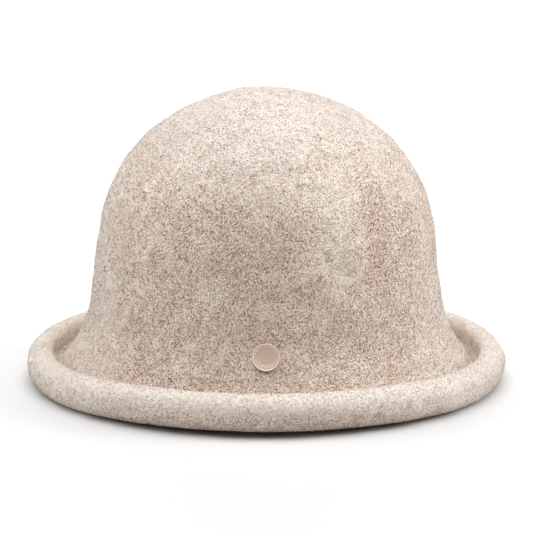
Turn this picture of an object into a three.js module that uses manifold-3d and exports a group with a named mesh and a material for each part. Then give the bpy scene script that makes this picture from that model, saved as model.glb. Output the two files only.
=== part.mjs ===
// A cloche hat blocked from one piece of felt, with a round metal stud at the front of its crown.
// Millimetres, +Z up. The wearer faces -Y. The origin is on the floor, on the hat's middle line.
import * as THREE from "three";
import { mergeVertices } from "three/addons/utils/BufferGeometryUtils.js";
import Module from "manifold-3d";

const wasm = await Module();
wasm.setup();

// The felt
const FELT = 2.6; // thickness
const HEAD_RADIUS = 88.6; // half the width inside the crown at the head line, ear to ear
const OVAL = 1.07; // front to back over ear to ear
const HEAD_LINE_HEIGHT = 40.9; // head line above the floor

// The crown
const WALL_SLANT = 7; // degrees off upright
const WALL_LENGTH = 36.4; // from the head line up to the shoulder
const TIP_RADIUS = 90.6; // the flatter middle of the crown's top
const TIP_ANGLE = 30.7; // degrees from the middle line to where the shoulder starts

// The flare under the head line, and the brim rolled up, outwards and under from it
const FLARE_RADIUS = 57.8;
const FLARE_SLOPE = 44.5; // degrees below level where the flare ends
const ROLL_HEIGHT = 18.6; // from the roll's underside, not yet pressed flat, to its crest
const VALLEY_DEPTH = 10.9; // from the roll's crest down to the bottom of the valley inside it
const BRIM_LIFT = 2.5; // how far the front and back of the brim stand off the floor
const LIFT_FADE_HEIGHT = 47; // the lift fades from the top of the roll to nothing at this height
const FLATTENED = 0.5; // how much of the underside is pressed flat where it rests

// The stud and the tack behind it
const BADGE_HEIGHT = 32.9; // its centre above the floor
const BADGE_RADIUS = 6.9;
const BADGE_THICKNESS = 1.6;
const RIM_WIDTH = 0.5;
const RIM_HEIGHT = 0.25;
const BEAD_COUNT = 22;
const BEAD_RADIUS = 0.32;
const DISH_RADIUS = 4.4; // the plain middle, slightly dished
const DISH_DEPTH = 0.15;
const POST_RADIUS = 1;
const TACK_RADIUS = 4.5;
const TACK_THICKNESS = 0.8;
const SEAT_DEPTH = 0.45; // how far the stud is pressed into the felt
const TACK_SEAT_DEPTH = 0.3;
const CLEARANCE = 0.3;

// How finely the curves are cut into flat faces
const AROUND = 64;
const BADGE_AROUND = 40;
const TACK_AROUND = 24;

// The turns of the felt through the roll. Straight is the plain felt before a turn and radius is that of
// the felt's outside, both as shares of the roll's height. Turn is in degrees, upwards if positive, and faces
// are the flat faces that it is cut into. The straight felt before the first two is worked out below.
const ROLL_PARTS = [
  { name: "valley", straight: 0, radius: 0.108, turn: 90 + FLARE_SLOPE, faces: 4 },
  { name: "inner side of the crest", straight: 0, radius: 0.226, turn: -90, faces: 3 },
  { name: "outer side of the crest", straight: 0, radius: 0.446, turn: -90, faces: 4 },
  { name: "underside", straight: 0.091, radius: 0.463, turn: -90, faces: 5 },
  { name: "tucked edge", straight: 0, radius: 0.446, turn: -38, faces: 2 },
];

// Shallow dents and swells of the soft crown. Around and wide are degrees, with 0 at the wearer's left (+X)
// and -90 at the front. Height and tall are shares of the crown's height. Depth is a share of the felt's
// thickness, outwards if positive.
const DENTS = [
  { name: "ridge right of the badge", around: -58, wide: 7, height: 0.56, tall: 0.16, depth: 0.42 },
  { name: "fold beside the ridge", around: -46, wide: 7, height: 0.56, tall: 0.17, depth: -0.5 },
  { name: "hollow of the front", around: -96, wide: 20, height: 0.5, tall: 0.2, depth: -0.32 },
  { name: "swell left of the front", around: -136, wide: 13, height: 0.6, tall: 0.2, depth: 0.32 },
  { name: "left side", around: 172, wide: 16, height: 0.52, tall: 0.2, depth: -0.28 },
  { name: "back swell", around: 118, wide: 18, height: 0.58, tall: 0.22, depth: 0.35 },
  { name: "back hollow", around: 74, wide: 15, height: 0.48, tall: 0.18, depth: -0.35 },
  { name: "right side", around: 14, wide: 14, height: 0.62, tall: 0.2, depth: 0.26 },
];

const rad = THREE.MathUtils.degToRad;
const smooth = (t) => THREE.MathUtils.smoothstep(t, 0, 1);

// The felt's head side, as stations down the section: place and direction out through the felt
function headSide() {
  const stations = [];
  const slant = rad(90 - WALL_SLANT);
  const add = (r, z, outR, outZ) => stations.push({ r, z, outR, outZ });

  // Crown: flatter tip, rounder shoulder, slanted wall
  const wallTop = {
    r: HEAD_RADIUS - WALL_LENGTH * Math.cos(slant),
    z: HEAD_LINE_HEIGHT + WALL_LENGTH * Math.sin(slant),
  };
  const tip = rad(TIP_ANGLE);
  const shoulderRadius = (wallTop.r - TIP_RADIUS * Math.sin(tip)) / (Math.sin(slant) - Math.sin(tip));
  const shoulder = {
    r: wallTop.r - shoulderRadius * Math.sin(slant),
    z: wallTop.z - shoulderRadius * Math.cos(slant),
  };
  const tipZ = shoulder.z + (shoulderRadius - TIP_RADIUS) * Math.cos(tip);
  for (let i = 0; i < 3; i++) {
    const a = (tip * i) / 3;
    add(TIP_RADIUS * Math.sin(a), tipZ + TIP_RADIUS * Math.cos(a), Math.sin(a), Math.cos(a));
  }
  for (let i = 0; i < 6; i++) {
    const a = tip + ((slant - tip) * i) / 6;
    add(
      shoulder.r + shoulderRadius * Math.sin(a),
      shoulder.z + shoulderRadius * Math.cos(a),
      Math.sin(a),
      Math.cos(a),
    );
  }
  for (let i = 0; i < 3; i++) {
    const t = i / 3;
    add(
      wallTop.r + (HEAD_RADIUS - wallTop.r) * t,
      wallTop.z + (HEAD_LINE_HEIGHT - wallTop.z) * t,
      Math.sin(slant),
      Math.cos(slant),
    );
  }

  // Flare and roll: a walk along the felt that turns outwards, up into the valley, and over and under
  let heading = -slant;
  let at = { r: HEAD_RADIUS, z: HEAD_LINE_HEIGHT };
  const note = () => add(at.r, at.z, -Math.sin(heading), Math.cos(heading));
  const forward = (length) => {
    at = { r: at.r + length * Math.cos(heading), z: at.z + length * Math.sin(heading) };
  };
  const turn = (radius, degrees, faces) => {
    const step = rad(degrees) / faces;
    const arm = Math.sign(degrees) * radius;
    for (let i = 0; i < faces; i++) {
      note();
      const centre = { r: at.r - arm * Math.sin(heading), z: at.z + arm * Math.cos(heading) };
      heading += step;
      at = { r: centre.r + arm * Math.sin(heading), z: centre.z - arm * Math.cos(heading) };
    }
  };
  turn(FLARE_RADIUS, 90 - WALL_SLANT - FLARE_SLOPE, 5);

  const [valley, innerCrest] = ROLL_PARTS;
  const crest = ROLL_HEIGHT - FLATTENED - FELT;
  const headSideRadius = (part) => part.radius * ROLL_HEIGHT + Math.sign(part.turn) * FELT;
  const straightBefore = (part) => {
    if (part === valley) {
      // Down the flare to where the valley's curve just reaches its bottom
      const curveDrop = headSideRadius(valley) * (1 - Math.cos(heading));
      return (at.z - curveDrop - (crest - VALLEY_DEPTH)) / -Math.sin(heading);
    }
    if (part === innerCrest) {
      // Up the outer side of the valley to where the curve over the crest starts
      return crest - headSideRadius(innerCrest) - at.z;
    }
    return part.straight * ROLL_HEIGHT;
  };
  for (const part of ROLL_PARTS) {
    const straight = straightBefore(part);
    if (straight > 0) {
      note();
      forward(straight);
    }
    turn(headSideRadius(part), part.turn, part.faces);
  }
  note();
  return stations;
}

// Both sides of the section, from the tip down to the felt's cut edge
function feltSection() {
  const pressed = (r, z) => ({ r, z: Math.max(z, 0) });
  const inner = headSide();
  return {
    outer: inner.map((s) => pressed(s.r + FELT * s.outR, s.z + FELT * s.outZ)),
    inner: inner.map((s) => pressed(s.r, s.z)),
  };
}

const section = feltSection();
const crownHeight = section.outer[0].z;

function dentDepth(around, z) {
  let depth = 0;
  for (const dent of DENTS) {
    const turned = THREE.MathUtils.euclideanModulo(around - dent.around + 180, 360) - 180;
    const sideways = turned / dent.wide;
    const upwards = (z / crownHeight - dent.height) / dent.tall;
    depth += dent.depth * FELT * Math.exp(-sideways * sideways - upwards * upwards);
  }
  return depth;
}

// Where a point of the section lies at an angle around the hat: oval, dented, with its front and back lifted
function placeOnHat(point, around) {
  const a = rad(around);
  const radius = point.r + dentDepth(around, point.z) * smooth(point.r / HEAD_RADIUS);
  const lift = BRIM_LIFT * smooth((Math.abs(Math.sin(a)) - 0.45) / 0.55);
  const share = smooth((LIFT_FADE_HEIGHT - point.z) / (LIFT_FADE_HEIGHT - ROLL_HEIGHT));
  return new THREE.Vector3(
    radius * Math.cos(a),
    radius * OVAL * Math.sin(a),
    point.z + lift * share,
  );
}

function toManifold(positions, triangles) {
  return new wasm.Manifold(
    new wasm.Mesh({
      numProp: 3,
      vertProperties: new Float32Array(positions),
      triVerts: new Uint32Array(triangles),
    }),
  );
}

function geometryToManifold(geometry) {
  geometry.deleteAttribute("normal");
  geometry.deleteAttribute("uv");
  const merged = mergeVertices(geometry, 1e-5);
  return toManifold(merged.attributes.position.array, merged.index.array);
}

function toGeometry(solid) {
  const mesh = solid.getMesh();
  const geometry = new THREE.BufferGeometry();
  geometry.setAttribute("position", new THREE.BufferAttribute(mesh.vertProperties, 3));
  geometry.setIndex(new THREE.BufferAttribute(mesh.triVerts, 1));
  return geometry;
}

// The felt as one closed skin: rings of the section's points, with one point at the tip on either side
function feltSolid() {
  const rings = [...section.outer.slice(1), ...section.inner.slice(1).reverse()];
  const positions = [...placeOnHat(section.outer[0], 0).toArray()];
  for (const point of rings) {
    for (let j = 0; j < AROUND; j++) {
      positions.push(...placeOnHat(point, (360 * j) / AROUND).toArray());
    }
  }
  positions.push(...placeOnHat(section.inner[0], 0).toArray());
  const last = positions.length / 3 - 1;
  const at = (ring, j) => 1 + ring * AROUND + (j % AROUND);
  const triangles = [];
  for (let j = 0; j < AROUND; j++) {
    triangles.push(0, at(0, j), at(0, j + 1));
    triangles.push(at(rings.length - 1, j), last, at(rings.length - 1, j + 1));
  }
  for (let i = 0; i + 1 < rings.length; i++) {
    for (let j = 0; j < AROUND; j++) {
      triangles.push(at(i, j), at(i + 1, j), at(i + 1, j + 1));
      triangles.push(at(i, j), at(i + 1, j + 1), at(i, j + 1));
    }
  }
  return toManifold(positions, triangles);
}

// The badge's seat on the front: the felt's outside at its height, its thickness and the direction out of it
function badgeSeat() {
  const front = (point) => placeOnHat(point, -90);
  let i = 0;
  while (front(section.outer[i + 1]).z > BADGE_HEIGHT) {
    i++;
  }
  const [top, bottom] = [front(section.outer[i]), front(section.outer[i + 1])];
  const [innerTop, innerBottom] = [front(section.inner[i]), front(section.inner[i + 1])];
  const share = (top.z - BADGE_HEIGHT) / (top.z - bottom.z);
  const outside = top.clone().lerp(bottom, share);
  const inside = innerTop.clone().lerp(innerBottom, share);
  const down = bottom.clone().sub(top).normalize();
  const out = new THREE.Vector3(0, down.z, -down.y);
  const thickness = outside.clone().sub(inside).dot(out);
  return { outside, out, thickness };
}

const seat = badgeSeat();

// Turns a solid drawn around +Z into the badge's axis, with z = 0 at the felt's outside
const seatTurn = new THREE.Quaternion().setFromUnitVectors(new THREE.Vector3(0, 0, 1), seat.out);

// A solid of revolution around +Z from a profile of [radius, height] that starts and ends on the axis
function turned(profile, faces) {
  const points = profile.map(([radius, height]) => new THREE.Vector2(radius, height));
  const geometry = new THREE.LatheGeometry(points, faces);
  geometry.rotateX(Math.PI / 2);
  return geometry;
}

function rod(radius, from, to, faces) {
  return turned([[0, from], [radius, from], [radius, to], [0, to]], faces);
}

function onSeat(geometry) {
  geometry.applyQuaternion(seatTurn);
  geometry.translate(seat.outside.x, seat.outside.y, seat.outside.z);
  return geometry;
}

// The felt with the shallow flats that the stud and the tack press into it, and the hole for the post
const badgeFloor = -SEAT_DEPTH;
const tackFloor = -seat.thickness + TACK_SEAT_DEPTH;
const beyondFelt = 4 * FELT;
const cuts = [
  rod(BADGE_RADIUS + CLEARANCE, badgeFloor, beyondFelt, BADGE_AROUND),
  rod(TACK_RADIUS + CLEARANCE, tackFloor - beyondFelt, tackFloor, TACK_AROUND),
  rod(POST_RADIUS + CLEARANCE, tackFloor - beyondFelt, beyondFelt, TACK_AROUND),
];
let felt = feltSolid();
for (const cut of cuts) {
  felt = felt.subtract(geometryToManifold(onSeat(cut)));
}

// The stud: disc, thin raised rim, a ring of small beads and a plain dished middle
const badgeBack = badgeFloor + CLEARANCE;
const badgeFace = badgeBack + BADGE_THICKNESS;
const rimTop = badgeFace + RIM_HEIGHT;
const dishFloor = badgeFace - DISH_DEPTH;
const rimInner = BADGE_RADIUS - RIM_WIDTH;
const rimEase = RIM_WIDTH / 3;
let badge = geometryToManifold(
  turned(
    [
      [0, badgeBack],
      [BADGE_RADIUS, badgeBack],
      [BADGE_RADIUS, rimTop - rimEase],
      [BADGE_RADIUS - rimEase, rimTop],
      [rimInner + rimEase, rimTop],
      [rimInner, badgeFace],
      [DISH_RADIUS, badgeFace],
      [DISH_RADIUS - DISH_DEPTH, dishFloor],
      [0, dishFloor],
    ],
    BADGE_AROUND,
  ),
);
const beadRing = (rimInner + DISH_RADIUS) / 2;
for (let i = 0; i < BEAD_COUNT; i++) {
  const a = (2 * Math.PI * i) / BEAD_COUNT;
  const bead = new THREE.SphereGeometry(BEAD_RADIUS, 6, 4);
  bead.rotateX(Math.PI / 2);
  bead.translate(beadRing * Math.cos(a), beadRing * Math.sin(a), badgeFace);
  badge = badge.add(geometryToManifold(bead));
}

// The tack: flat round head inside the hat and a post that ends just behind the stud
const tackTop = tackFloor - CLEARANCE;
const tack = turned(
  [
    [0, tackTop - TACK_THICKNESS],
    [TACK_RADIUS, tackTop - TACK_THICKNESS],
    [TACK_RADIUS, tackTop],
    [POST_RADIUS, tackTop],
    [POST_RADIUS, badgeBack - CLEARANCE],
    [0, badgeBack - CLEARANCE],
  ],
  TACK_AROUND,
);

function named(name, geometry, color, roughness, metalness) {
  const mesh = new THREE.Mesh(geometry, new THREE.MeshStandardMaterial({ color, roughness, metalness }));
  mesh.name = name;
  return mesh;
}

const group = new THREE.Group();
group.add(named("felt_body", toGeometry(felt), 0xcbb9a6, 0.95, 0));
group.add(named("badge", onSeat(toGeometry(badge)), 0xc4ac98, 0.35, 1));
group.add(named("badge_tack", onSeat(tack), 0xb8a898, 0.4, 1));

export default group;
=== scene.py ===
import math

import bmesh
import bpy
import numpy as np
from mathutils import Matrix, Vector


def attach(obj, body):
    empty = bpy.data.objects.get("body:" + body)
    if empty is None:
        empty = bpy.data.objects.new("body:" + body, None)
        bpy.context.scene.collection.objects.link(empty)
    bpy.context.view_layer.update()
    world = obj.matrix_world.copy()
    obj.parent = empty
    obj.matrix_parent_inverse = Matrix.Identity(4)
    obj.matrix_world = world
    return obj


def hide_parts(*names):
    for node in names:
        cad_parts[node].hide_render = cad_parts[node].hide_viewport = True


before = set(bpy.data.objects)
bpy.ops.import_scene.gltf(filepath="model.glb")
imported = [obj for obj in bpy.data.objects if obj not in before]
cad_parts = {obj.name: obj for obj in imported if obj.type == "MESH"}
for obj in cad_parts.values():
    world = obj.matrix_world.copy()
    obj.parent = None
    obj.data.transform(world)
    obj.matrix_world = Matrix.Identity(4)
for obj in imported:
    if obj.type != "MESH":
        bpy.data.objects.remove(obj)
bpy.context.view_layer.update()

# The studio: a white table that runs on as the background, a wide panel of light overhead, one low behind
# that gives the felt its pale edge, and two weak ones at the sides. The camera has a long lens and looks
# down on the brim from a little above it.
TABLE_SIDE = 12.0
TABLE_WHITE = (0.62, 0.62, 0.62, 1)
ROOM_LIGHT = 0.235
LENS_MM = 216.1
SENSOR_MM = 36
CAMERA_DISTANCE = 1.664
CAMERA_RISE = math.radians(12.43)
CAMERA_PITCH = math.radians(11.863)
CAMERA_SHIFT = 0.0009
AIM_HEIGHT = 0.0409
CROWN_MIDDLE = (0, 0, 0.08)


def show(name, bm):
    """Turns a finished bmesh into a smooth object at the origin."""
    mesh = bpy.data.meshes.new(name)
    bm.to_mesh(mesh)
    bm.free()
    mesh.shade_smooth()
    piece = bpy.data.objects.new(name, mesh)
    bpy.context.scene.collection.objects.link(piece)
    return piece


bm = bmesh.new()
bmesh.ops.create_grid(bm, x_segments=1, y_segments=1, size=TABLE_SIDE / 2)
table_top = show("table_top", bm)
table_finish = bpy.data.materials.new("white_table")
table_finish.use_nodes = True
table_shader = table_finish.node_tree.nodes["Principled BSDF"]
table_shader.inputs["Base Color"].default_value = TABLE_WHITE
table_shader.inputs["Roughness"].default_value = 0.9
table_shader.inputs["Specular IOR Level"].default_value = 0.1
table_top.data.materials.append(table_finish)


def hang_lamp(name, width, watts, place, aim):
    lamp = bpy.data.lights.new(name, "AREA")
    lamp.shape = "DISK"
    lamp.size = width
    lamp.energy = watts
    holder = bpy.data.objects.new(name, lamp)
    holder.location = place
    holder.rotation_euler = (Vector(aim) - Vector(place)).to_track_quat("-Z", "Y").to_euler()
    bpy.context.scene.collection.objects.link(holder)


hang_lamp("overhead_panel", 4.0, 108, (0, 0, 2.6), (0, 0, 0))
hang_lamp("back_panel", 2.0, 48, (0, 3.0, 0.8), CROWN_MIDDLE)
hang_lamp("left_panel", 1.6, 24, (-2.4, 0.2, 1.2), CROWN_MIDDLE)
hang_lamp("right_panel", 1.6, 40, (2.4, 0.2, 1.2), CROWN_MIDDLE)

room = bpy.data.worlds.new("bright_room")
room.use_nodes = True
room.node_tree.nodes["Background"].inputs["Color"].default_value = (1, 1, 1, 1)
room.node_tree.nodes["Background"].inputs["Strength"].default_value = ROOM_LIGHT
bpy.context.scene.world = room
bpy.context.scene.view_settings.view_transform = "Standard"

lens = bpy.data.cameras.new("camera")
lens.lens = LENS_MM
lens.sensor_width = SENSOR_MM
lens.shift_x = CAMERA_SHIFT
lens.clip_start = 0.05
lens.clip_end = 30
camera = bpy.data.objects.new("camera", lens)
camera.location = (
    0,
    -CAMERA_DISTANCE * math.cos(CAMERA_RISE),
    AIM_HEIGHT + CAMERA_DISTANCE * math.sin(CAMERA_RISE),
)
camera.rotation_euler = (math.pi / 2 - CAMERA_PITCH, 0, 0)
bpy.context.scene.collection.objects.link(camera)
bpy.context.scene.camera = camera

# The felt: a hood of heathered wool, felted and shrunk until no thread shows, steamed over a block and
# cut at the brim, which is then rolled up, outwards and under, so that its cut edge lies inside the roll.
FELT = 0.0026
HEAD_RADIUS = 0.0886
OVAL = 1.07
HEAD_LINE_HEIGHT = 0.0409
WALL_SLANT = 7
WALL_LENGTH = 0.0364
TIP_RADIUS = 0.0906
TIP_ANGLE = 30.7
FLARE_RADIUS = 0.0578
FLARE_SLOPE = 44.5
ROLL_HEIGHT = 0.0186
VALLEY_DEPTH = 0.0109
# The front and back of the brim are lifted, from a sine of the angle around and up to a height
BRIM_LIFT = 0.0025
LIFT_START = 0.45
LIFT_FADE_HEIGHT = 0.047
# How much of the roll is pressed flat where it rests
FLATTENED = 0.0005
# The radius of the felt's outside as a share of the roll's height, and degrees turned
VALLEY = (0.108, 90 + FLARE_SLOPE)
INNER_CREST = (0.226, -90)
OUTER_CREST = (0.446, -90)
UNDERSIDE = (0.463, -90)
TUCKED_EDGE = (0.446, -38)
# Around and wide in degrees, height and tall as shares of the crown's height, depth as a share of the felt
DENTS = [
    (-58, 7, 0.56, 0.16, 0.42),
    (-46, 7, 0.56, 0.17, -0.5),
    (-96, 20, 0.5, 0.2, -0.32),
    (-136, 13, 0.6, 0.2, 0.32),
    (172, 16, 0.52, 0.2, -0.28),
    (118, 18, 0.58, 0.22, 0.35),
    (74, 15, 0.48, 0.18, -0.35),
    (14, 14, 0.62, 0.2, 0.26),
]
# Slow swells of steamed felt, which fade out towards the table and go up and down on top of the crown
SWELLS = 30
SWELL_LENGTHS = (0.012, 0.034)
SWELL_DEPTH = 0.00007
SWELL_FADE_HEIGHT = 0.004
SWELL_CORE = 0.02
# The round flat that the stud presses into the outside, with a soft edge around it
SEAT = Vector((0, -0.09983, 0.0329))
SEAT_LEAN = math.radians(22.82)
SEAT_DEPTH = 0.00045
SEAT_MARGIN = 0.0001
SEAT_EDGE = 0.0012
SEAT_REACH = 0.012
BADGE_RADIUS = 0.0069
# The usual steps along the section, outside and inside, the widest turn of one step, and steps around
OUTER_STEP = 0.0016
INNER_STEP = 0.0026
STEP_DEGREES = 12
AROUND = 280


class SectionPen:
    """Draws the felt's section in the X-Z plane, one bmesh spin or extrusion at a time."""

    def __init__(self, x, z, heading):
        self.mesh = bmesh.new()
        self.tip = self.mesh.verts.new((x, 0, z))
        self.heading = math.radians(heading)

    def turn(self, radius, degrees, step):
        angle = math.radians(degrees)
        across = Vector((-math.sin(self.heading), 0, math.cos(self.heading)))
        swept = bmesh.ops.spin(
            self.mesh,
            geom=[self.tip],
            cent=self.tip.co + across * math.copysign(radius, degrees),
            axis=(0, -1, 0),
            angle=angle,
            steps=max(round(abs(degrees) / STEP_DEGREES), round(radius * abs(angle) / step)),
        )
        self.tip = next(g for g in swept["geom_last"] if isinstance(g, bmesh.types.BMVert))
        self.heading += angle

    def forward(self, length, step):
        if not length:
            return
        along = Vector((math.cos(self.heading), 0, math.sin(self.heading)))
        steps = max(1, round(length / step))
        for _ in range(steps):
            drawn = bmesh.ops.extrude_vert_indiv(self.mesh, verts=[self.tip])
            self.tip = drawn["verts"][0]
            self.tip.co += along * length / steps

    def walk(self, parts):
        """Draws straight stretches and turns, and gives the number of points drawn so far."""
        for straight, (share, degrees) in parts:
            self.forward(straight, OUTER_STEP)
            self.turn(share * ROLL_HEIGHT, degrees, OUTER_STEP)
        return len(self.mesh.verts)


slant = math.radians(90 - WALL_SLANT)
tip_angle = math.radians(TIP_ANGLE)
flare_slope = math.radians(FLARE_SLOPE)
wall_top_r = HEAD_RADIUS - WALL_LENGTH * math.cos(slant)
wall_top_z = HEAD_LINE_HEIGHT + WALL_LENGTH * math.sin(slant)
shoulder_radius = (wall_top_r - TIP_RADIUS * math.sin(tip_angle)) / (math.sin(slant) - math.sin(tip_angle))
shoulder_z = wall_top_z - shoulder_radius * math.cos(slant)
crown_z = shoulder_z + (shoulder_radius - TIP_RADIUS) * math.cos(tip_angle) + TIP_RADIUS
crown_height = crown_z + FELT
shoulder_turn = 90 - WALL_SLANT - TIP_ANGLE
flare_turn = 90 - WALL_SLANT - FLARE_SLOPE
flare_drop = FLARE_RADIUS * (math.cos(flare_slope) - math.cos(slant))
valley_drop = (VALLEY[0] * ROLL_HEIGHT + FELT) * (1 - math.cos(flare_slope))
valley_bottom = ROLL_HEIGHT - FLATTENED - FELT - VALLEY_DEPTH
flare_run = (HEAD_LINE_HEIGHT - flare_drop - valley_drop - valley_bottom) / math.sin(flare_slope)
# Straight felt, then a turn, from the flare's end to the crest and on to the cut edge
to_crest = [
    (flare_run, VALLEY),
    (VALLEY_DEPTH - (VALLEY[0] + INNER_CREST[0]) * ROLL_HEIGHT, INNER_CREST),
    (0, OUTER_CREST),
]
to_edge = [
    ((1 - OUTER_CREST[0] - UNDERSIDE[0]) * ROLL_HEIGHT, UNDERSIDE),
    (0, TUCKED_EDGE),
]

pen = SectionPen(0, crown_height, 0)
pen.turn(TIP_RADIUS + FELT, -TIP_ANGLE, OUTER_STEP)
pen.turn(shoulder_radius + FELT, -shoulder_turn / 2, OUTER_STEP)
top_end = len(pen.mesh.verts)
pen.turn(shoulder_radius + FELT, -shoulder_turn / 2, OUTER_STEP)
shoulder_end = len(pen.mesh.verts)
pen.forward(WALL_LENGTH, OUTER_STEP)
wall_end = len(pen.mesh.verts)
pen.turn(FLARE_RADIUS - FELT, flare_turn, OUTER_STEP)
flare_end = len(pen.mesh.verts)
crest_end = pen.walk(to_crest)
skin_end = pen.walk(to_edge)
pen.turn(FELT / 2, -180, FELT / 3)
for straight, (share, degrees) in reversed(to_crest + to_edge):
    pen.turn(share * ROLL_HEIGHT + math.copysign(FELT, degrees), -degrees, OUTER_STEP)
    pen.forward(straight, OUTER_STEP)
hollow_end = len(pen.mesh.verts)
pen.turn(FLARE_RADIUS, -flare_turn, INNER_STEP)
pen.forward(WALL_LENGTH, INNER_STEP)
pen.turn(shoulder_radius, shoulder_turn, INNER_STEP)
pen.turn(TIP_RADIUS, TIP_ANGLE, INNER_STEP)
pen.tip.co.x = 0
for vert in pen.mesh.verts:
    vert.co.z = max(vert.co.z, 0)
section = np.array([v.co[:] for v in pen.mesh.verts])[:, [0, 2]]

swells = np.random.default_rng(7)
swell_waves = swells.normal(0, 1, (SWELLS, 3))
swell_lengths = swells.uniform(*SWELL_LENGTHS, (SWELLS, 1))
swell_waves *= 2 * math.pi / swell_lengths / np.linalg.norm(swell_waves, axis=1)[:, None]
swell_phases = swells.uniform(0, 2 * math.pi, SWELLS)
seat_out = Vector((0, -math.cos(SEAT_LEAN), math.sin(SEAT_LEAN)))


def smooth(t):
    t = np.clip(t, 0, 1)
    return t * t * (3 - 2 * t)


def from_seat(points):
    """How far points lie out of the stud's seat and aside of its middle."""
    offset = points - np.array(SEAT)
    out = offset @ np.array(seat_out)
    return out, np.linalg.norm(offset - out[:, None] * np.array(seat_out), axis=1)


def shape_hat(radius, height, around):
    """Lays points of the round section on the real hat: oval, dented, with its front and back lifted."""
    depth = np.zeros_like(radius)
    for at, wide, level, tall, share in DENTS:
        sideways = ((np.degrees(around) - at + 180) % 360 - 180) / wide
        upwards = (height / crown_height - level) / tall
        depth += share * FELT * np.exp(-(sideways**2) - upwards**2)
    radius = radius + depth * smooth(radius / HEAD_RADIUS)
    lift = BRIM_LIFT * smooth((abs(np.sin(around)) - LIFT_START) / (1 - LIFT_START))
    lift *= smooth((LIFT_FADE_HEIGHT - height) / (LIFT_FADE_HEIGHT - ROLL_HEIGHT))
    points = np.stack([radius * np.cos(around), radius * OVAL * np.sin(around), height + lift], -1)
    swell = np.sin(points @ swell_waves.T + swell_phases).sum(-1) * SWELL_DEPTH
    swell *= smooth(points[:, 2] / SWELL_FADE_HEIGHT)
    points[:, :2] *= (1 + swell / np.maximum(radius, SWELL_CORE))[:, None]
    points[:, 2] += swell * smooth(1 - radius / HEAD_RADIUS)

    out, aside = from_seat(points)
    outer_half = (out > -FELT / 2) & (points[:, 1] < 0)
    eased = smooth((aside - BADGE_RADIUS - SEAT_MARGIN) / SEAT_EDGE)
    sunk = np.minimum(out, -SEAT_DEPTH + eased * (out + SEAT_DEPTH))
    sunk = np.where(outer_half & (aside < SEAT_REACH), sunk - out, 0)
    return points + sunk[:, None] * np.array(seat_out)


revolved = pen.mesh
bmesh.ops.spin(
    revolved,
    geom=revolved.verts[:] + revolved.edges[:],
    cent=(0, 0, 0),
    axis=(0, 0, 1),
    angle=2 * math.pi,
    steps=AROUND,
    use_merge=True,
)
bmesh.ops.remove_doubles(revolved, verts=revolved.verts, dist=1e-6)
round_points = np.array([v.co[:] for v in revolved.verts])
laid = shape_hat(
    np.hypot(round_points[:, 0], round_points[:, 1]),
    round_points[:, 2],
    np.arctan2(round_points[:, 1], round_points[:, 0]),
)
for vert, place in zip(revolved.verts, laid):
    vert.co = place
bmesh.ops.recalc_face_normals(revolved, faces=revolved.faces)
felt = show("felt", revolved)


class Amount:
    """A number or colour that varies over a surface: a socket of its material, with arithmetic."""

    def __init__(self, finish, socket):
        self.finish, self.socket = finish, socket

    def worked(self, operation, *numbers):
        return self.finish.add("ShaderNodeMath", {"operation": operation}, dict(enumerate(numbers)))

    def __add__(self, other):
        return self.worked("ADD", self, other)

    def __sub__(self, other):
        return self.worked("SUBTRACT", self, other)

    def __rsub__(self, other):
        return self.worked("SUBTRACT", other, self)

    def __mul__(self, other):
        return self.worked("MULTIPLY", self, other)

    def __pow__(self, other):
        return self.worked("POWER", self, other)

    def __abs__(self):
        return self.worked("ABSOLUTE", self)

    __radd__ = __add__
    __rmul__ = __mul__


class Finish:
    """A procedural material on one Principled shader."""

    def __init__(self, name, **constants):
        self.material = bpy.data.materials.new(name)
        self.material.use_nodes = True
        self.nodes = self.material.node_tree.nodes
        self.links = self.material.node_tree.links
        self.shader = self.nodes["Principled BSDF"]
        for socket, value in constants.items():
            self.shader.inputs[socket.replace("_", " ")].default_value = value
        self.place = self.add("ShaderNodeTexCoord", {}, {}, "Object")

    def add(self, kind, settings, sockets, out=0):
        """Adds a node with its settings, then the values or links of its sockets, and gives one output."""
        node = self.nodes.new(kind)
        for name, setting in settings.items():
            if name == "stops":
                ramp = node.color_ramp
                while len(ramp.elements) < len(setting):
                    ramp.elements.new(0.5)
                for element, (position, colour) in zip(ramp.elements, setting):
                    element.position, element.color = position, (*colour, 1)
            else:
                setattr(node, name, setting)
        for key, value in sockets.items():
            if isinstance(value, Amount):
                self.links.new(value.socket, node.inputs[key])
            else:
                node.inputs[key].default_value = value
        return Amount(self, node.outputs[out])

    def noise(self, scale, seed, detail=2.0, rough=0.5, distortion=0.0):
        sockets = {"Vector": self.place, "W": seed, "Scale": scale}
        sockets |= {"Detail": detail, "Roughness": rough, "Distortion": distortion}
        return self.add("ShaderNodeTexNoise", {"noise_dimensions": "4D"}, sockets)

    def clip(self, value, low, high, to_low=0.0, to_high=1.0):
        ranges = dict(enumerate((value, low, high, to_low, to_high)))
        return self.add("ShaderNodeMapRange", {"clamp": True}, ranges)

    def mix(self, share, a, b):
        a, b = (colour if isinstance(colour, Amount) else (*colour, 1) for colour in (a, b))
        return self.add("ShaderNodeMix", {"data_type": "RGBA"}, {0: share, 6: a, 7: b}, 2)

    def axes(self):
        return [self.add("ShaderNodeSeparateXYZ", {}, {0: self.place}, axis) for axis in "XYZ"]

    def feed(self, socket, value):
        self.links.new(value.socket, self.shader.inputs[socket])

    def feed_bump(self, height, strength, distance):
        sockets = {"Height": height, "Strength": strength, "Distance": distance}
        self.feed("Normal", self.add("ShaderNodeBump", {}, sockets))


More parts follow.
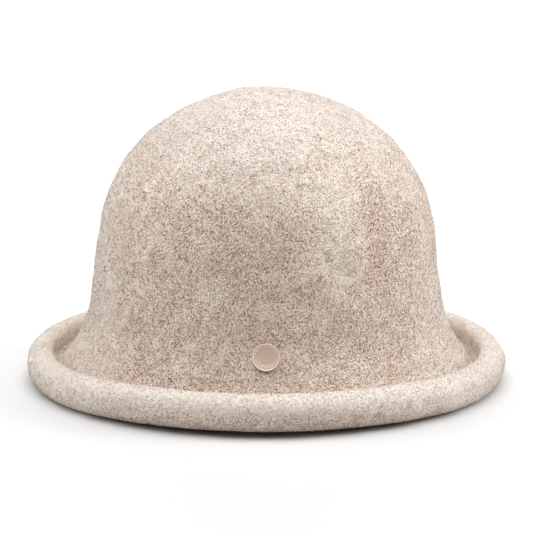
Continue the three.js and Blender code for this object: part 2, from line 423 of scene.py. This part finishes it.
WOOL_SHEEN = {"Sheen_Weight": 1.0, "Sheen_Roughness": 0.3, "Sheen_Tint": (0.97, 0.90, 0.83, 1)}
WOOL_LIGHT = (0.97, 0.89, 0.81)
WOOL_PALE = (0.90, 0.77, 0.66)
WOOL_MID = (0.68, 0.455, 0.325)
WOOL_DARK = (0.15, 0.058, 0.028)
PAINTED_SHEEN_COLOUR = (0.70, 0.655, 0.61)
# The sizes of the wool's patterns, as noise scales to the metre, and how far a noise is from its middle
# where a thread is full and where it ends
THREAD_SCALES = (1100, 1400)
THREAD_EDGES = (0.02, 0.09)
GRAIN_SCALE = 2200
PORE_SCALE = 1550
HEATHER_SCALE = 170
CLOUD_SCALE = 42
# Where painted sheen (wool painted paler and hazier where fibres catch light at grazing angles) begins
# and is full: heights of the crown's top and of the roll's crest, distances of the crest from the middle,
# and of the hat's sides to the left and right of it
SHEEN_PAINT_TOP = (0.098, 0.142)
SHEEN_PAINT_CREST = (0.008, 0.019)
SHEEN_PAINT_CREST_RADIUS = (0.1075, 0.1115)
SHEEN_PAINT_SIDES = (0.066, 0.094)
SHEEN_PAINT_SHARE = 0.4
# The soft fold's painted shade and light: its place sideways at a height, its lean, where it fades at its
# foot, head and front, and half the widths of the painted shade in its hollow and of the painted light in
# the band beside it, from full to none
FOLD_ASIDE = 0.0545
FOLD_HEIGHT = 0.084
FOLD_LEAN = 0.12
FOLD_FOOT = (0.050, 0.066)
FOLD_HEAD = (0.122, 0.105)
FOLD_FRONT = (-0.02, -0.04)
FOLD_SHADE_HOLLOW = (0.001, 0.0085)
FOLD_LIT_BAND = (0.003, 0.016)
FOLD_LIT_BAND_ASIDE = 0.019


def painted_sheen(finish):
    """Painted sheen: paler wool on the crown's top and sides and the roll's crest, where fibres catch light
    at grazing angles.
    """
    x, y, z = finish.axes()
    radius = (x**2.0 + y**2.0 * (1 / OVAL**2)) ** 0.5
    top = finish.clip(z, *SHEEN_PAINT_TOP)
    crest = finish.clip(radius, *SHEEN_PAINT_CREST_RADIUS) * finish.clip(z, *SHEEN_PAINT_CREST)
    return top * 0.85 + crest * 1.25 + finish.clip(abs(x), *SHEEN_PAINT_SIDES) * 0.5


def painted_fold_shade(finish):
    """Painted shade in the hollow of a soft upright fold at the right of the front, painted light along its
    left side.
    """
    x, y, z = finish.axes()
    reach = finish.clip(y, *FOLD_FRONT) * finish.clip(z, *FOLD_FOOT) * finish.clip(z, *FOLD_HEAD)
    aside = x + (z - FOLD_HEIGHT) * FOLD_LEAN - FOLD_ASIDE
    hollow_shade = finish.clip(abs(aside), *FOLD_SHADE_HOLLOW, 1.0, 0.0)
    lit_band = finish.clip(abs(aside + FOLD_LIT_BAND_ASIDE), *FOLD_LIT_BAND, 1.0, 0.0)
    return (hollow_shade * 0.75 - lit_band * 0.6) * reach


def curled_thread(finish, scale, seed, distortion):
    """Thin ridges where a noise crosses its middle."""
    noise = finish.noise(scale, seed, detail=0.0, distortion=distortion)
    return finish.clip(abs(noise - 0.5), *THREAD_EDGES, 1.0, 0.0)


wool = Finish("heathered_wool", Roughness=0.92, Specular_IOR_Level=0.2, **WOOL_SHEEN)
coarse_threads = curled_thread(wool, THREAD_SCALES[0], 1.3, 0.8)
threads = coarse_threads.worked("MAXIMUM", coarse_threads, curled_thread(wool, THREAD_SCALES[1], 4.7, 0.6))
grain = wool.noise(GRAIN_SCALE, 2.2, detail=1.0, rough=0.6)
pores = wool.clip(wool.noise(PORE_SCALE, 6.4, detail=0.5), 0.47, 0.54)
heather = wool.noise(HEATHER_SCALE, 3.0, detail=3.0, rough=0.6, distortion=0.6)
clouds = wool.noise(CLOUD_SCALE, 5.0, detail=3.0, rough=0.6, distortion=0.5)
# Painted sheen: the wool is painted paler on the crown's top and sides and the roll's crest, standing in
# for light caught at grazing angles
sheen_paint = painted_sheen(wool)
tone = wool.clip(heather, 0.34, 0.66) * 0.5 + wool.clip(clouds, 0.3, 0.7) * 0.4
# The fold's painted shade darkens the tone in its hollow and its painted light lightens the band beside it
tone = tone + sheen_paint * 0.5 - painted_fold_shade(wool) * 0.5
wool_colour = wool.mix(wool.clip(tone, 0.1, 0.9), WOOL_MID, WOOL_PALE)
wool_colour = wool.mix(threads * 0.75, wool_colour, WOOL_LIGHT)
speckle = pores * (1.0 - threads * 0.55) * wool.clip(tone, 0.2, 1.0, 1.0, 0.5)
wool_colour = wool.mix(speckle * 0.95, wool_colour, WOOL_DARK)
# Painted sheen: a pale grey haze mixed in where the fibres would catch light at grazing angles
wool_colour = wool.mix(wool.clip(sheen_paint, 0.0, 1.0) * SHEEN_PAINT_SHARE, wool_colour, PAINTED_SHEEN_COLOUR)
wool.feed("Base Color", wool_colour)
wool.feed_bump(threads * 0.6 + grain * 0.3 - pores * 0.6, strength=0.5, distance=0.0003)
felt.data.materials.append(wool.material)
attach(felt, "root")
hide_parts("felt_body")

# The nap: curled wisps of wool that felting leaves half loose on both faces of the felt, paler than its
# body. Each is a closed spindle with a bend in its middle that starts and ends in the felt.
WISP_LENGTH = (0.0010, 0.0018)
WISP_WIDTH = (0.00025, 0.00044)
WISP_FLATNESS = 0.6
# The mean and the spread of the bend, in radians
WISP_BEND = (0.9, 0.3)
# How high over the felt a wisp starts, bends and ends
WISP_RISES = [(-0.00006, 0.00003), (0.00008, 0.00022), (-0.00008, 0.00014)]
# First and last point of the section, and the wisps on each square metre
NAP_PIECES = [
    ("crown_nap", 0, top_end, 1020000),
    ("shoulder_nap", top_end, shoulder_end, 1020000),
    ("wall_nap", shoulder_end, wall_end, 1020000),
    ("flare_nap", wall_end, flare_end, 1020000),
    ("crest_nap", flare_end, crest_end, 1020000),
    ("underside_nap", crest_end, skin_end, 800000),
    ("head_side_nap", hollow_end, len(section), 90000),
]
NAP_SEED = 40
# Nothing grows on the stud's seat, nor this far around it
BARE_MARGIN = 0.001
# The wisps' colours, from the darkest fleece to the palest
FLEECE = [
    (0.29, (0.16, 0.062, 0.03)),
    (0.42, (0.55, 0.35, 0.23)),
    (0.52, (0.885, 0.755, 0.64)),
    (0.80, (0.96, 0.91, 0.845)),
]
DRIFT_SCALE = 60
# The felt's slope is taken over steps of this size, and angles as if no nearer to the middle than this
NUDGE = 0.0002
CORE_RADIUS = 0.004

section_steps = np.hypot(*np.diff(section, axis=0).T)
section_lengths = np.r_[0, section_steps.cumsum()]


def lay_skin(along, around):
    """Points and outward normals on the hat, from lengths along the section and angles."""
    along = np.clip(along, 2 * NUDGE, section_lengths[-1] - 2 * NUDGE)

    def lay(step, turn):
        radius = np.interp(along + step, section_lengths, section[:, 0])
        height = np.interp(along + step, section_lengths, section[:, 1])
        return shape_hat(radius, height, around + turn / np.maximum(radius, CORE_RADIUS))

    normal = np.cross(lay(NUDGE, 0) - lay(-NUDGE, 0), lay(0, NUDGE) - lay(0, -NUDGE))
    return lay(0, 0), normal / np.linalg.norm(normal, axis=1)[:, None]


def spin_wisps(first, last, density, draw):
    """The five points of each wisp that grows between two points of the section."""
    first, last = max(first - 1, 0), last - 1
    rims = section[first:last, 0] + section[first + 1 : last + 1, 0]
    areas = section_steps[first:last] * rims * math.pi * (1 + OVAL) / 2
    count = round(areas.sum() * density)
    picked = draw.uniform(0, areas.sum(), count)
    along = np.interp(picked, np.r_[0, areas.cumsum()], section_lengths[first : last + 1])
    around = draw.uniform(0, 2 * math.pi, count)
    length = draw.uniform(*WISP_LENGTH, count)
    width = draw.uniform(*WISP_WIDTH, count)
    heading = draw.uniform(0, 2 * math.pi, count)
    radius = np.maximum(np.interp(along, section_lengths, section[:, 0]), CORE_RADIUS)

    middles, normals = [], []
    for low, high in WISP_RISES:
        foot, normal = lay_skin(along, around)
        middles.append(foot + normal * draw.uniform(low, high, count)[:, None])
        normals.append(normal)
        along = along + np.cos(heading) * length / 2
        around = around + np.sin(heading) * length / 2 / radius
        heading = heading + draw.choice([-1, 1], count) * draw.normal(*WISP_BEND, count)
    start, bend, end = middles

    across = np.cross(normals[1], end - start)
    across /= np.linalg.norm(across, axis=1)[:, None]
    ring = []
    for corner in range(3):
        turned = math.radians(90 + 120 * corner)
        offset = across * math.cos(turned) + normals[1] * math.sin(turned) * WISP_FLATNESS
        ring.append(bend + offset * (width / 2)[:, None])
    clear = (from_seat(bend)[1] > BADGE_RADIUS + BARE_MARGIN) | (bend[:, 1] > 0)
    return np.stack([start, *ring, end], 1)[clear]


nap_wool = Finish("wool_wisps", Roughness=0.8, Specular_IOR_Level=0.25, **WOOL_SHEEN)
own_fleece = nap_wool.add("ShaderNodeAttribute", {"attribute_name": "fleece"}, {}, "Fac")
drift = nap_wool.clip(nap_wool.noise(DRIFT_SCALE, 5.0, detail=3.0, rough=0.6), 0.32, 0.68) * 0.2
drift = drift + nap_wool.clip(nap_wool.noise(HEATHER_SCALE, 3.0, rough=0.6), 0.34, 0.66) * 0.2
# Painted sheen on the wisps: paler and hazier on the crown's top and sides and the roll's crest
nap_sheen_paint = painted_sheen(nap_wool)
# The wisps also carry the fold's painted shade and painted light
fleece_tone = own_fleece * 0.6 + drift + nap_sheen_paint * 0.11 - painted_fold_shade(nap_wool) * 0.14
nap_colour = nap_wool.add("ShaderNodeValToRGB", {"stops": FLEECE}, {0: fleece_tone})
nap_sheen_share = nap_wool.clip(nap_sheen_paint, 0.0, 1.0) * SHEEN_PAINT_SHARE
nap_wool.feed("Base Color", nap_wool.mix(nap_sheen_share, nap_colour, PAINTED_SHEEN_COLOUR))

# A wisp's points are its start, three around its bend and its end
wisp_faces = []
for near, after in ((1, 2), (2, 3), (3, 1)):
    wisp_faces += [(0, after, near), (4, near, after)]

for number, (name, first, last, density) in enumerate(NAP_PIECES):
    draw = np.random.default_rng(NAP_SEED + number)
    wisps = spin_wisps(first, last, density, draw)
    faces = np.array(wisp_faces) + 5 * np.arange(len(wisps))[:, None, None]
    nap_mesh = bpy.data.meshes.new(name)
    nap_mesh.from_pydata(wisps.reshape(-1, 3).tolist(), [], faces.reshape(-1, 3).tolist())
    nap_mesh.shade_smooth()
    fleece = nap_mesh.attributes.new("fleece", "FLOAT", "POINT")
    fleece.data.foreach_set("value", np.repeat(draw.uniform(0, 1, len(wisps)), 5))
    nap_mesh.materials.append(nap_wool.material)
    nap = bpy.data.objects.new(name, nap_mesh)
    bpy.context.scene.collection.objects.link(nap)
    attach(nap, "root")

# The stud: a small cast disc with a thin rim, a ring of beads and a plain dished middle, plated in
# satin rose beige. It is held by its tack through the felt.
BADGE_THICKNESS = 0.0016
RIM_WIDTH = 0.0006
RIM_HEIGHT = 0.00035
DISH_RADIUS = 0.0044
DISH_DEPTH = 0.00015
BEAD_RADIUS = 0.0004
BEAD_COUNT = 22
CLEARANCE = 0.0003
STUD_EASED = 0.0002
METAL_AROUND = 96
SHARP = math.radians(25)
PLATE_LIGHT = (0.75, 0.575, 0.46)
PLATE_DARK = (0.65, 0.50, 0.40)
# The colour of the painted highlight on the raised rim and beads
PLATE_HIGHLIGHT = (0.88, 0.74, 0.63)
# How far over the plate's face the painted highlight begins and is full
HIGHLIGHT_FROM = 0.00006
HIGHLIGHT_TO = 0.0002

badge_back = -SEAT_DEPTH + CLEARANCE
badge_face = badge_back + BADGE_THICKNESS
rim_top = badge_face + RIM_HEIGHT
seat_turn = seat_out.to_track_quat("Z", "Y").to_matrix().to_4x4()
seat_matrix = Matrix.Translation(SEAT) @ seat_turn


def turn_metal(outline, eased):
    """A solid of revolution around Z from an outline of (radius, height), with its edges eased."""
    bm = bmesh.new()
    verts = [bm.verts.new((radius, 0, height)) for radius, height in outline]
    edges = [bm.edges.new(pair) for pair in zip(verts, verts[1:])]
    bmesh.ops.spin(
        bm,
        geom=verts + edges,
        cent=(0, 0, 0),
        axis=(0, 0, 1),
        angle=2 * math.pi,
        steps=METAL_AROUND,
        use_merge=True,
    )
    bmesh.ops.remove_doubles(bm, verts=bm.verts, dist=1e-7)
    bmesh.ops.recalc_face_normals(bm, faces=bm.faces)
    bmesh.ops.bevel(
        bm,
        geom=[e for e in bm.edges if e.is_manifold and e.calc_face_angle() > SHARP],
        offset=eased,
        affect="EDGES",
        segments=3,
        profile=0.5,
        material=-1,
        clamp_overlap=True,
    )
    return bm


stud_bm = turn_metal(
    [
        (0, badge_back),
        (BADGE_RADIUS, badge_back),
        (BADGE_RADIUS, rim_top),
        (BADGE_RADIUS - RIM_WIDTH, rim_top),
        (BADGE_RADIUS - RIM_WIDTH - RIM_HEIGHT / 2, badge_face),
        (DISH_RADIUS, badge_face),
        (DISH_RADIUS - DISH_DEPTH * 2, badge_face - DISH_DEPTH),
        (0, badge_face - DISH_DEPTH),
    ],
    STUD_EASED,
)
bead_ring = Matrix.Translation(((BADGE_RADIUS - RIM_WIDTH + DISH_RADIUS) / 2, 0, badge_face))
for bead in range(BEAD_COUNT):
    bmesh.ops.create_uvsphere(
        stud_bm,
        u_segments=14,
        v_segments=9,
        radius=BEAD_RADIUS,
        matrix=Matrix.Rotation(2 * math.pi * bead / BEAD_COUNT, 4, "Z") @ bead_ring,
    )
bmesh.ops.transform(stud_bm, matrix=seat_matrix, verts=stud_bm.verts)
stud = show("stud", stud_bm)

plating = Finish("satin_rose_beige", Metallic=0.55)
# Painted highlight: the raised rim and beads are painted brighter than the plate behind them, standing in
# for the light they catch
outwards = plating.add(
    "ShaderNodeVectorMath", {"operation": "DOT_PRODUCT"}, {0: plating.place, 1: seat_out[:]}, "Value"
)
over_face = outwards - (SEAT.dot(seat_out) + badge_face)
painted_highlight = plating.clip(over_face, HIGHLIGHT_FROM, HIGHLIGHT_TO)
tarnish = plating.clip(plating.noise(900, 1.1, detail=3.0), 0.3, 0.75)
plate = plating.mix(tarnish, PLATE_LIGHT, PLATE_DARK)
plating.feed("Base Color", plating.mix(painted_highlight, plate, PLATE_HIGHLIGHT))
plating.feed("Roughness", plating.clip(plating.noise(2500, 2.5), 0.3, 0.7, 0.36, 0.52))
plating.feed_bump(plating.noise(3200, 9.0), strength=0.15, distance=0.00004)
stud.data.materials.append(plating.material)
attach(stud, "root")
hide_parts("badge")

# The tack: a flat round head inside the hat on a post that is pushed through the felt, which closes
# around it, and fixed to the back of the stud.
TACK_RADIUS = 0.0045
TACK_THICKNESS = 0.0008
POST_RADIUS = 0.001
TACK_EASED = 0.00025
FELT_AT_SEAT = 0.0027
STEEL_LIGHT = (0.56, 0.52, 0.48)
STEEL_DARK = (0.46, 0.42, 0.39)

tack_bm = turn_metal(
    [
        (0, -FELT_AT_SEAT - TACK_THICKNESS),
        (TACK_RADIUS, -FELT_AT_SEAT - TACK_THICKNESS),
        (TACK_RADIUS, -FELT_AT_SEAT),
        (POST_RADIUS, -FELT_AT_SEAT),
        (POST_RADIUS, badge_back - CLEARANCE),
        (0, badge_back - CLEARANCE),
    ],
    TACK_EASED,
)
bmesh.ops.transform(tack_bm, matrix=seat_matrix, verts=tack_bm.verts)
tack = show("tack", tack_bm)
steel = Finish("satin_steel", Metallic=0.9)
steel.feed("Base Color", steel.mix(steel.noise(700, 3.3), STEEL_LIGHT, STEEL_DARK))
steel.feed("Roughness", steel.clip(steel.noise(2100, 5.2), 0.3, 0.7, 0.32, 0.48))
tack.data.materials.append(steel.material)
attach(tack, "root")
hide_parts("badge_tack")
